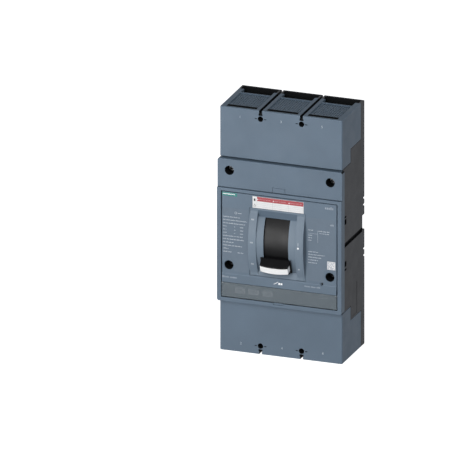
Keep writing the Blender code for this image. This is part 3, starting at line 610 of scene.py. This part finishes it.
def front_panel():
    back, front, wall = 100, 115, 3
    profile = [(PANEL_BACK, PANEL_LOW), (FRAME_D, PANEL_LOW), (FRAME_D, -72.0),
               (PANEL_D, -70.8), (PANEL_D, PANEL_HIGH), (PANEL_BACK, PANEL_HIGH)]
    around, rib = BEZEL_HALF + 0.5, BEZEL_HALF + 0.5 + wall
    opening = [box(TOGGLE_X - around, TOGGLE_X + around, back, front, BEZEL_LOW - 0.4,
                   BEZEL_HIGH + 0.4)]
    hollow = [box(-PANEL_HALF + wall, TOGGLE_X - rib, back, 109, -68, 62.3),
              box(TOGGLE_X + rib, PANEL_HALF - wall, back, 109, -68, 62.3)]
    bosses = [rod("d", SCREW_X, SCREW_ZS[1], 10.2, PANEL_BACK, 110)]
    bores = [turned("d", SCREW_X, SCREW_ZS[1],
                    [(back, SCREW_HOLE), (110.9, SCREW_HOLE), (111.3, 7.6),
                     (112.1, SCREW_SINK), (front, SCREW_SINK)])]
    small = [turned("d", *BUTTON, [(back, 1.75), (111, 1.75), (111, 2.9), (front, 2.9)], 32)]
    seat = [box(LABEL_LEFT - CLEAR, LABEL_RIGHT + CLEAR, LABEL_BACK - 0.2, front, 42.0,
                LABEL_HIGH + 0.2)]

    # near-black painted shade on the panel's underside and on its screw bore walls
    def painted_shade_faces(x, d, z):
        return d < 110.95 and abs(z - BEZEL_LOW) > 1

    piece("front_panel", "panel_grey", prism("x", profile, -PANEL_HALF, PANEL_HALF),
          [("o", 0.7, past(110)), ("-", hollow), ("+", both_sides(bosses)), ("-", opening),
           ("-", both_sides(bores)), ("-", small), ("-", seat)],
          dark=painted_shade_faces)


def toggle_bezel():
    low = math.degrees(math.asin((SLOT_LOW - PIVOT[1]) / LEDGE_R))
    high = math.degrees(math.asin((SLOT_HIGH - PIVOT[1]) / LEDGE_R))
    trough = ([(102.2, BEZEL_LOW), (PANEL_D, BEZEL_LOW), SILL_LOW]
              + arc(*PIVOT, LEDGE_R, low, high, 40)
              + [SILL_HIGH, (PANEL_D, BEZEL_HIGH - 2.5), (PANEL_D, BEZEL_HIGH),
                 (102.2, BEZEL_HIGH)])
    body = prism("x", trough, TOGGLE_X - BEZEL_HALF, TOGGLE_X + BEZEL_HALF)
    cheek = ([(103.0, BEZEL_LOW), (PANEL_D, BEZEL_LOW)]
             + arc(*CHEEK_AXIS, CHEEK_R, -22.2, 22.2, 40)
             + [(PANEL_D, BEZEL_HIGH), (103.0, BEZEL_HIGH)])
    cheeks = [prism("x", cheek, TOGGLE_X - BEZEL_HALF, TOGGLE_X - CHEEK_HALF),
              prism("x", cheek, TOGGLE_X + CHEEK_HALF, TOGGLE_X + BEZEL_HALF)]
    slot = [(130, SLOT_LOW), (106.4, SLOT_LOW), (100, -70), (90, -70), (90, 42), (100, 42),
            (107.3, SLOT_HIGH), (130, SLOT_HIGH)]

    # painted shade: near-black in the slot and on the back faces, the cover's darker grey on the
    # slope above the slot
    def look(x, d, z):
        off, edge = abs(x - TOGGLE_X), SLOT_HIGH + 0.05
        if off < SLOT_HALF + 0.01 and SLOT_LOW - 0.05 < z < edge or d < 103.0:
            return 1
        return 2 if off < CHEEK_HALF and edge < z < 41.5 else 0

    piece("toggle_bezel", "bezel_grey", body,
          [("+", cheeks), ("o", 0.8, past(109)),
           ("-", [prism("x", slot, TOGGLE_X - SLOT_HALF, TOGGLE_X + SLOT_HALF)])],
          dark=look)


def terminal_cover(name, put):
    outline = [(64.2, TERM_LOW), (TERM_D, TERM_LOW), (TERM_D, END_Z), (16.3, END_Z),
               (16.3, STEP_Z + CLEAR), (64.2, STEP_Z + CLEAR)]
    inside = [(63, 124.6), (100, 124.6), (100, 201), (15, 201), (15, 143), (63, 143)]
    wall_z, over = 200, END_Z + 1
    rooms, tops, vents, sunk, bars = [], [], [], [], []
    for xc in POLES:
        rooms.append(prism("x", inside, *pole_span(xc, *ROOM_SPAN)))
        x0, x1 = pole_span(xc, *GRILLE_SPAN)
        tops += [box(x0, x1, 91, 99.6, wall_z, over), box(x0, x1, 15, 32.4, wall_z, over)]
        sunk.append(box(x0, x1, *GRILLE_D, GRILLE_Z, over))
        for i in range(VENTS):
            x = x0 + (x1 - x0) * (i + 0.5) / VENTS
            vents.append(box(x - VENT_HALF, x + VENT_HALF, *VENT_D, wall_z, over))
        for k in range(1, BARS + 1):
            d = VENT_D[0] + BAR_STEP * k
            bars.append(put(box(x0, x1, d, d + BAR_WIDE, 202.2, GRILLE_Z - 0.15)))
    slots = [box(PART_X - 2.4, PART_X + 2.4, 15, 105, 199.5, over)]
    feet = [box(PART_X - 3.3, PART_X + 3.3, 101, 105, 196.6, 200)]
    bores = [turned("d", PART_X, TERM_SCREW_Z,
                    [(15, 2.3), (91, 2.3), (91, 4.0), (103.4, 4.0), (104.1, 4.7), (105, 4.7)])]
    ticks = [box(PART_X + a, PART_X + b, 103.3, 105, TERM_SCREW_Z - 0.7, TERM_SCREW_Z + 0.7)
             for a, b in ((-9.8, -6.2), (6.2, 9.8))]
    steps = [("-", rooms), ("-", tops), ("-", sunk), ("-", vents), ("-", both_sides(slots)),
             ("-", both_sides(feet)), ("-", both_sides(bores)), ("-", both_sides(ticks))]
    steps = [(sign, [put(s) for s in shapes]) for sign, shapes in steps]

    def right_edge(x, d, z):
        return x > BASE_HALF - 1 and d > TERM_D - 1

    def left_edge(x, d, z):
        return right_edge(-x, d, z)

    # near-black painted shade inside the terminal rooms and in the screw bores; the grille keeps
    # the cover grey
    def painted_shade_faces(x, d, z):
        off = abs(abs(x) - PART_X)
        inside = abs(x) < 94.7 and 14 < d < 100.1 and abs(z) < 203.5
        grille = 34 < d < 89 and abs(z) > 201.1 and off > 3
        bore = off < 9.9 and 96 < d < 103.95 and abs(z) < END_Z - 0.5
        return inside and not grille or bore

    shown(f"{name}_vent_bars", solids(bars), "cover_grey", "housing")
    # the sides take a step each, because an edge across the front ends at both of them
    piece(name, "cover_grey", put(prism("x", outline, -BASE_HALF, BASE_HALF)),
          [("o", 2.4, right_edge, 5), ("o", 2.4, left_edge, 5), ("o", 1.1)] + steps,
          dark=painted_shade_faces)


# ---------------------------------------------------------------- fasteners

def screws():
    for side, sx in (("left", -1), ("right", 1)):
        for end, z in zip(("upper", "lower"), SCREW_ZS):
            x = sx * SCREW_X
            head = turned("d", x, z, [(66, 2.6), (67, 3.0), (93.6, 3.0), (93.6, 6.6),
                                      (96.9, 6.6), (97.7, 6.3), (98.2, 5.8), (98.4, 5.2)])
            corners = [(x + HEX_R * math.cos(a), z + HEX_R * math.sin(a))
                       for a in (math.radians(60 * k) for k in range(6))]
            socket = [prism("d", corners, 95.4, 99)]
            piece(f"cover_screw_{end}_{side}", "screw_dark", head, [("-", socket)])
        for end, z in (("line", TERM_SCREW_Z), ("load", -TERM_SCREW_Z)):
            x = sx * PART_X
            head = turned("d", x, z, [(4.5, 1.6), (5.5, 2.0), (91.4, 2.0), (91.4, 3.6),
                                      (94.2, 3.6), (94.8, 3.3), (95.0, 2.8)])
            piece(f"{end}_cover_screw_{side}", "screw_dark", head,
                  [("-", [box(x - 4, x + 4, 93.6, 96, z - 0.5, z + 0.5)])])


# ---------------------------------------------------------------- toggle

def toggle_parts():
    x0, x1 = TOGGLE_X - BAND_HALF, TOGGLE_X + BAND_HALF
    band = arc(0, 0, SLIDE_R1, -50, 51, 64) + arc(0, 0, SLIDE_R0, 51, -50, 64)
    stem = [in_turn(box(x0 + 1, x1 - 1, 87.0, 92.6, -9.5, 9.5))]
    wedge = [(92.0, -FLANGE_Z), (FLANGE_R, -FLANGE_Z), (107.6, -6.4), (107.6, 6.4),
             (FLANGE_R, FLANGE_Z), (92.0, FLANGE_Z)]
    grip = [in_turn(prism("x", wedge, TOGGLE_X - GRIP_HALF, TOGGLE_X + GRIP_HALF))]
    flange = [in_turn(box(TOGGLE_X - FLANGE_HALF, TOGGLE_X + FLANGE_HALF, 91.8, FLANGE_R,
                          -FLANGE_Z, FLANGE_Z))]
    # the seat of the cap: its two sides and its front
    seat_in, seat_out, seat_front, seat_top = 20.2, 26, 112, 4.6
    sides = [in_turn(box(TOGGLE_X + a, TOGGLE_X + b, 94.9, seat_front, -6.2, seat_top))
             for a, b in ((seat_in, seat_out), (-seat_out, -seat_in))]
    front = [in_turn(box(TOGGLE_X - seat_out, TOGGLE_X + seat_out, 103.6, seat_front, -13,
                         seat_top))]
    trim = (arc(TOGGLE_X, 108.2 - BULGE_R, BULGE_R, 72, 108, 12)
            + [(TOGGLE_X - 27, 104), (TOGGLE_X - 27, 115), (TOGGLE_X + 27, 115),
               (TOGGLE_X + 27, 104)])
    ends = [in_turn(prism("z", trim, -13, 13))]

    def beyond_band(x, d, z):
        return math.hypot(d - PIVOT[0], z - PIVOT[1]) > 91.0

    piece("toggle_handle", "handle_black", in_turn(prism("x", band, x0, x1)),
          [("+", stem), ("+", grip), ("+", flange), ("-", sides), ("-", front), ("-", ends),
           ("o", 0.5, beyond_band, 3, False)], "toggle")
    leg, leg_end, web = 20.5, 95.2, 103.9
    outer = [(TOGGLE_X - GRIP_HALF, leg_end), (TOGGLE_X - leg, leg_end), (TOGGLE_X - leg, web),
             (TOGGLE_X + leg, web), (TOGGLE_X + leg, leg_end), (TOGGLE_X + GRIP_HALF, leg_end)]
    outer += arc(TOGGLE_X, CAP_R - BULGE_R, BULGE_R, 73.46, 106.54, 12)
    piece("toggle_cap", "cap_white", in_turn(prism("z", outer, -5.9, 4.4)), [("o", 0.5)],
          "toggle")


# ---------------------------------------------------------------- trip unit

def trip_unit():
    back, low, high = 72, TRIP_LOW + TRIP_WALL, TRIP_HIGH - TRIP_WALL
    side, deep, lid = TRIP_HALF - TRIP_WALL, back + TRIP_WALL, 102
    shell = box(-TRIP_HALF, TRIP_HALF, back, TRIP_D, TRIP_LOW, TRIP_HIGH)
    rooms = [box(-side, -27, deep, lid, low, high), box(21, side, deep, lid, low, high)]
    middle = [box(-27.5, 21.5, 98.2, lid, low, high)]
    gap = [box(-25, 19, 71, 96.5, -112, -87)]
    seats = [turned("d", x, z, [(101, 2.3), (103, 2.3), (103, 4.4), (105, 4.4)], 32)
             for x, z in DIALS]
    seats += [rod("d", -83.6, -93, 2.1, 102.6, 105), rod("d", 73, -94.6, 3.0, 102.6, 105)]
    top = [rod("z", 55, 88, 2.2, -91, -87)]
    piece("trip_unit_housing", "handle_black", shell,
          [("o", 0.6), ("-", gap), ("-", rooms), ("-", middle), ("-", seats), ("-", top)])
    for n, (x, z) in enumerate(DIALS, 1):
        disc = turned("d", x, z, [(100.4, 2.0), (103.3, 2.0), (103.3, 4.1), (104.9, 4.1),
                                  (105.3, 3.9), (105.4, 3.5)], 40)
        arrow = [prism("d", [(x - 0.55, z - 2.6), (x + 0.55, z - 2.6), (x + 0.55, z + 1.2),
                             (x + 1.4, z + 1.2), (x, z + 3.0), (x - 1.4, z + 1.2),
                             (x - 0.55, z + 1.2)], 104.7, 106)]
        piece(f"setting_dial_{n}", "dial_grey", disc, [("-", arrow)], f"dial_{n}")


def window():
    outline = [(109.8, TRIP_LOW), (112.8, TRIP_LOW), (112.8, HINGE[1])]
    outline += arc(*HINGE, 1.5, 0, 180, 16)[1:]
    tab = [box(-9.0, 6.5, 110.5, 112.8, -114.8, -112.0)]
    pins = both_sides([rod("x", *HINGE, 1.0, 96.0, 100.5)])
    hollow = [box(-95.4, 95.4, 109, 111.3, -110.2, -91.2)]

    def free_edge(x, d, z):
        return d > 112 and z < -100

    def grey_tab(x, d, z):
        return 2 if z < -112.1 else 0

    piece("trip_unit_window", "smoke_window", prism("x", outline, -96.7, 96.7),
          [("o", 0.5, free_edge), ("-", hollow), ("+", tab), ("+", pins)], "window",
          dark=grey_tab)


def button():
    piece("push_to_trip_button", "handle_black",
          turned("d", *BUTTON, [(81.0, 1.2), (81.5, 1.45), (94.6, 1.45), (94.6, 3.4),
                                (97.6, 3.4), (97.6, 1.45), (111.3, 1.45), (111.6, 1.35),
                                (111.8, 1.0)], 32), [], "trip_button")


# ---------------------------------------------------------------- printed marks

INK = 0.06                       # height of a printed mark over its surface
INK_FOOT = 0.03                  # how far a mark reaches into its surface


def mark(x0, x1, z0, z1, d):
    return box(x0, x1, d - INK_FOOT, d + INK, z0, z1)


def words(x0, x1, z, d, tall, seed):
    """A line of small print as plain blocks of uneven width, with gaps for the spaces."""
    rng = random.Random(seed)
    out, x, left = [], x0, rng.randint(3, 8)
    while x < x1 - 0.5 * tall:
        wide = tall * rng.uniform(0.35, 0.6)
        high = tall * (1.0 if rng.random() < 0.35 else 0.72)
        out.append(mark(x, min(x + wide, x1), z, z + high, d))
        x += wide + 0.2 * tall
        left -= 1
        if not left:
            x += 0.55 * tall
            left = rng.randint(3, 8)
    return out


def prints(name, mat, shapes):
    shown(name, solids(shapes), mat, "housing")


def line_of(p0, p1, wide, d):
    (x0, z0), (x1, z1) = p0, p1
    length = math.hypot(x1 - x0, z1 - z0)
    nx, nz = -(z1 - z0) / length * wide / 2, (x1 - x0) / length * wide / 2
    return prism("d", [(x0 + nx, z0 + nz), (x0 - nx, z0 - nz), (x1 - nx, z1 - nz),
                       (x1 + nx, z1 + nz)], d - INK_FOOT, d + INK)


def ring(x, z, r0, r1, d):
    """Flat ring as a fan of small solids."""
    out, count = [], 28
    for k in range(count):
        a0, a1 = 2 * math.pi * k / count, 2 * math.pi * (k + 1) / count
        corners = [(x + r * math.cos(a), z + r * math.sin(a))
                   for r, a in ((r0, a0), (r1, a0), (r1, a1), (r0, a1))]
        out.append(prism("d", corners, d - INK_FOOT, d + INK))
    return out


def digits(name, mat, items, size):
    """Pole numbers, set in the built-in face, as one solid piece."""
    whole = bmesh.new()
    for text, x, z, d in items:
        curve = bpy.data.curves.new("digit", "FONT")
        curve.body = text
        curve.size = size * MM
        curve.extrude = INK * MM / 2
        curve.align_x, curve.align_y = "CENTER", "CENTER"
        ob = bpy.data.objects.new("digit", curve)
        scene.collection.objects.link(ob)
        mesh = bpy.data.meshes.new_from_object(
            ob.evaluated_get(bpy.context.evaluated_depsgraph_get()))
        mesh.transform(Matrix.Translation(place(x, d, z)) @ Matrix.Rotation(math.pi / 2, 4, "X"))
        whole.from_mesh(mesh)
        bpy.data.objects.remove(ob)
        bpy.data.curves.remove(curve)
        bpy.data.meshes.remove(mesh)
    bmesh.ops.remove_doubles(whole, verts=whole.verts, dist=1e-7)
    mesh = bpy.data.meshes.new(name)
    whole.to_mesh(mesh)
    whole.free()
    shown(name, mesh, mat, "housing", sharp=30)


def label():
    sheet = box(LABEL_LEFT, LABEL_RIGHT, LABEL_BACK, LABEL_D, LABEL_LOW, LABEL_HIGH)
    piece("warning_label", "label_white", sheet, [("o", 0.2)])
    top = LABEL_D
    columns = ((-37.4, -11.6), (-11.0, 14.8), (15.4, 40.6))
    prints("label_red_band", "label_red", [mark(columns[0][0], 40.6, 55.6, 62.7, top)])
    rules = [mark(a, b, z, z + 0.25, top) for a, b in columns for z in (52.6, 49.6, 46.6)]
    rules += [mark(a - 0.45, a - 0.15, 44.2, 55.4, top) for a, _ in columns]
    prints("label_rules", "ink_rule", rules)
    lines = []
    for k, (a, b) in enumerate(columns):
        lines += words(a + 2.5, b - 2.5, 58.2, top + INK, 1.7, 40 + k)
    prints("label_band_print", "ink_pink", lines)
    prints("label_band_marks", "ink_white",
           [prism("d", [(a + 0.2, 57.6), (a + 2.0, 57.6), (a + 1.1, 60.0)], top, top + 2 * INK)
            for a, _ in columns])
    left, peak, right = (-43.4, 46.4), (-41.5, 50.4), (-39.6, 46.4)
    triangle = [line_of(p, q, 0.5, top) for p, q in ((left, peak), (peak, right), (left, right))]
    prints("label_cell_marks", "ink_dark", [mark(-42.9, -40.1, 55.2, 59.4, top)] + triangle)


def panel_prints():
    d = PANEL_D
    prints("rating_sheets", "sheet_grey",
           [mark(-95.5, -52.0, -49.2, 38.5, d), mark(-76.0, -52.0, -67.6, -49.2, d),
            mark(46.0, 94.5, -48.4, 38.5, d), mark(46.0, 75.5, -67.6, -48.4, d)])
    prints("corner_plate", "plate_teal", [mark(-96.0, -71, 58.5, 64.2, d)])
    prints("corner_plate_bar", "ink_white", [mark(-94.6, -74.4, 61.0, 62.2, d + INK)])
    d += INK
    small = ring(-73.0, 31.0, 1.5, 2.1, d) + [mark(-69.6, -63.5, 30.4, 31.2, d)]
    ends = (-66.0, -54.5, -57.0, -62, -62, -62, -60.0, -58.0, -77.0, -62.0, -85.0, -60.0)
    for k, end in enumerate(ends):
        z = 22.6 - 5.35 * k
        if k in (3, 4, 5):
            small += words(-94.5, -88.0, z, d, 1.6, k) + words(-76.0, -73.5, z, d, 1.4, 20 + k)
            small += words(-66.0, -60.0, z, d, 1.6, 60 + k)
        elif k == 11:
            small += words(-94.5, -80.0, z, d, 1.6, k) + words(-70.0, -60.0, z, d, 1.6, 90)
        else:
            small += words(-94.5, end, z, d, 1.6, k)
    for k, z in enumerate((17.4, 8.6, 4.4, 0.2)):
        small += words(48.5, 58.0 - k, z, d, 1.5, 100 + k)
    small += words(66.0, 85.0, 17.0, d, 1.5, 110) + words(68.0, 84.0, 13.4, d, 1.3, 111)
    small += [mark(48.5, 65.0, 12.2, 12.5, d), mark(64.6, 64.9, -2.0, 18.5, d)]
    for k, (end, z) in enumerate(((66, -19.0), (77, -23.6), (71, -28.2), (66, -32.8),
                                  (64, -37.4))):
        small += words(48.5, end, z, d, 1.5, 120 + k)
    prints("panel_small_print", "ink_light", small)
    bright = words(77.0, 93.0, 56.0, PANEL_D, 4.4, 130) + words(86.0, 92.0, 28.6, d, 3.0, 131)
    bright += words(-95.5, -70.0, -79.0, FRAME_D, 3.1, 132)
    bright += words(43.0, 71.0, -78.4, FRAME_D, 2.3, 133)
    prints("panel_large_print", "ink_soft", bright)
    symbol = [line_of((-9.0, -80.4), (-6.4, -79.4), 0.9, FRAME_D),
              line_of((-6.4, -79.4), (-1.6, -76.0), 0.9, FRAME_D),
              mark(-1.2, 1.8, -80.6, -77.4, FRAME_D), mark(2.6, 5.6, -80.6, -77.4, FRAME_D)]
    prints("breaker_symbol", "ink_white", symbol)
    prints("code_square", "label_white", [mark(80.7, 94.2, -45.0, -31.5, d)])
    rng, cells, cell, dot, left, low = random.Random(7), 8, 1.5, 0.62, 81.6, -44.1
    dots = [mark(left + cell * i, left + cell * (i + dot), low + cell * j,
                 low + cell * (j + dot), d + INK)
            for i in range(cells) for j in range(cells) if rng.random() < 0.6]
    prints("code_square_dots", "ink_dot", dots)


def on_cheek(x0, x1, z0, z1):
    """A mark on the curved front of a cheek of the bezel."""
    middle = math.asin(((z0 + z1) / 2 - CHEEK_AXIS[1]) / CHEEK_R)
    half = (z1 - z0) / 2
    return polar(box(x0, x1, CHEEK_R - 0.05, CHEEK_R + INK, -half, half), CHEEK_AXIS,
                 math.degrees(middle))


def cheek_prints():
    marks = []
    for z in (25.2, -11.7, -49.2):
        marks += [on_cheek(x, x + 1.1, z - 1.2, z + 1.2) for x in (-45.6, -43.9, -42.2)]
    marks += [on_cheek(34.6, 35.4, -8.6, -3.2)]
    marks += [on_cheek(33.9, 36.1, -50.3, -48.1)]
    prints("cheek_print", "ink_light", marks)
    prints("cheek_marker", "ink_white", [on_cheek(33.6, 36.4, -13.6, -10.8)])


def trip_prints():
    d, shapes, plates = TRIP_D, [], []
    for k, (x, z) in enumerate(DIALS):
        plates += [mark(x - 8.6, x + 8.6, z - 3.6, z + 5.4, d - 0.02)]
        for i in range(9):
            a = math.radians(-40 + 32.5 * i)
            inner, outer = ((x + r * math.cos(a), z + r * math.sin(a)) for r in (4.9, 6.0))
            shapes.append(line_of(inner, outer, 0.35, d + INK))
        shapes += words(x - 6.5, x + 6.5, z + 6.2, d, 1.2, 200 + k)
    shapes += words(-91.0, -78.0, -90.4, d, 1.3, 210)
    shapes += ring(-83.6, -93.0, 2.3, 2.8, d) + ring(73.0, -94.6, 3.2, 3.8, d)
    prints("trip_unit_plates", "ink_warm", plates)
    prints("trip_unit_print", "ink_light", shapes)


def pole_numbers():
    digits("pole_numbers", "ink_light",
           [(t, x, TERM_SCREW_Z - 0.5, TERM_D) for t, x in zip("135", POLES)]
           + [(t, x + 1.5, -TERM_SCREW_Z + 0.5, TERM_D) for t, x in zip("246", POLES)], 5.6)


# ---------------------------------------------------------------- the object

base()
main_cover()
front_panel()
toggle_bezel()
terminal_cover("line_terminal_cover", same)
terminal_cover("load_terminal_cover", flip)
screws()
toggle_parts()
trip_unit()
window()
button()
label()
panel_prints()
cheek_prints()
trip_prints()
pole_numbers()

slots = {row["node"]: row["material_slot"] for row in frame["record"]["subparts"]}
for name, ob in frame["nodes"].items():
    for material_slot in ob.material_slots:
        material_slot.material = MAT[slots[name]]


# ---------------------------------------------------------------- stage, light and camera

def direction(azimuth, elevation):
    """Unit vector from the object towards a place; azimuth 0 is in front, 90 to its right."""
    a, e = math.radians(azimuth), math.radians(elevation)
    return Vector((math.sin(a) * math.cos(e), -math.cos(a) * math.cos(e), math.sin(e)))


def area_light(name, azimuth, elevation, distance, size, watts):
    lamp = bpy.data.lights.new(name, "AREA")
    lamp.shape = "DISK"
    lamp.size = size
    lamp.energy = watts
    ob = bpy.data.objects.new(name, lamp)
    way = direction(azimuth, elevation)
    ob.location = way * distance
    ob.rotation_euler = way.to_track_quat("Z", "Y").to_euler()
    scene.collection.objects.link(ob)


FLOOR_GAP = 0.0005               # keeps the floor clear of the lowest faces


def stage():
    """White floor, left out of the light and the reflections on the object."""
    mesh = bpy.data.meshes.new("floor")
    bm = bmesh.new()
    bmesh.ops.create_grid(bm, x_segments=1, y_segments=1, size=12.0)
    bm.to_mesh(mesh)
    bm.free()
    floor = bpy.data.objects.new("floor", mesh)
    floor.location.z = -END_Z * MM - FLOOR_GAP
    mat, tree, shader = nodes_of("floor_white")
    tone = blended(tree, noise(tree, 3.0), (0.80, 0.80, 0.80), (0.82, 0.82, 0.82))
    tree.links.new(tone, shader.inputs["Base Color"])
    shader.inputs["Roughness"].default_value = 0.9
    shader.inputs["Emission Color"].default_value = (1.0, 1.0, 1.0, 1.0)
    shader.inputs["Emission Strength"].default_value = 0.9
    mesh.materials.append(mat)
    floor.visible_diffuse = False
    floor.visible_glossy = False
    scene.collection.objects.link(floor)


def world():
    made = bpy.data.worlds.new("studio")
    scene.world = made
    made.use_nodes = True
    tree = made.node_tree
    back = tree.nodes["Background"]
    coords = node(tree, "ShaderNodeTexCoord").outputs["Generated"]
    height = node(tree, "ShaderNodeSeparateXYZ", {"Vector": coords}).outputs["Z"]
    above = ranged(tree, height, 0.0, 1.0, 0.05, 0.75)
    below = ranged(tree, height, 1.0, 0.0, -0.8, -0.1)
    level = blended(tree, below, (0.62, 0.63, 0.65), (0.30, 0.30, 0.31))
    tone = blended(tree, above, level, (0.20, 0.208, 0.220))
    tree.links.new(tone, back.inputs["Color"])
    back.inputs["Strength"].default_value = 1.0


VIEW_AZIMUTH, VIEW_ELEVATION = 20.0, 20.0
VIEW_SCALE = 0.712               # metres across the picture
AIM = Vector((0.0, -TERM_D * MM, 0.0))
SHIFT_RIGHT, SHIFT_UP, VIEW_DISTANCE = -0.0886, 0.0161, 1.6


def camera():
    data = bpy.data.cameras.new("camera")
    data.type = "ORTHO"
    data.ortho_scale = VIEW_SCALE
    ob = bpy.data.objects.new("camera", data)
    back = direction(VIEW_AZIMUTH, VIEW_ELEVATION)
    turn = (-back).to_track_quat("-Z", "Y")
    right, up = turn @ Vector((1, 0, 0)), turn @ Vector((0, 1, 0))
    ob.location = AIM + right * SHIFT_RIGHT + up * SHIFT_UP + back * VIEW_DISTANCE
    ob.rotation_euler = turn.to_euler()
    scene.collection.objects.link(ob)
    scene.camera = ob


stage()
world()
area_light("key", 8.0, 32.0, 1.8, 1.1, 13.5)
area_light("fill", -22.0, -2.0, 1.9, 1.2, 18.0)
camera()
scene.view_settings.view_transform = "Standard"
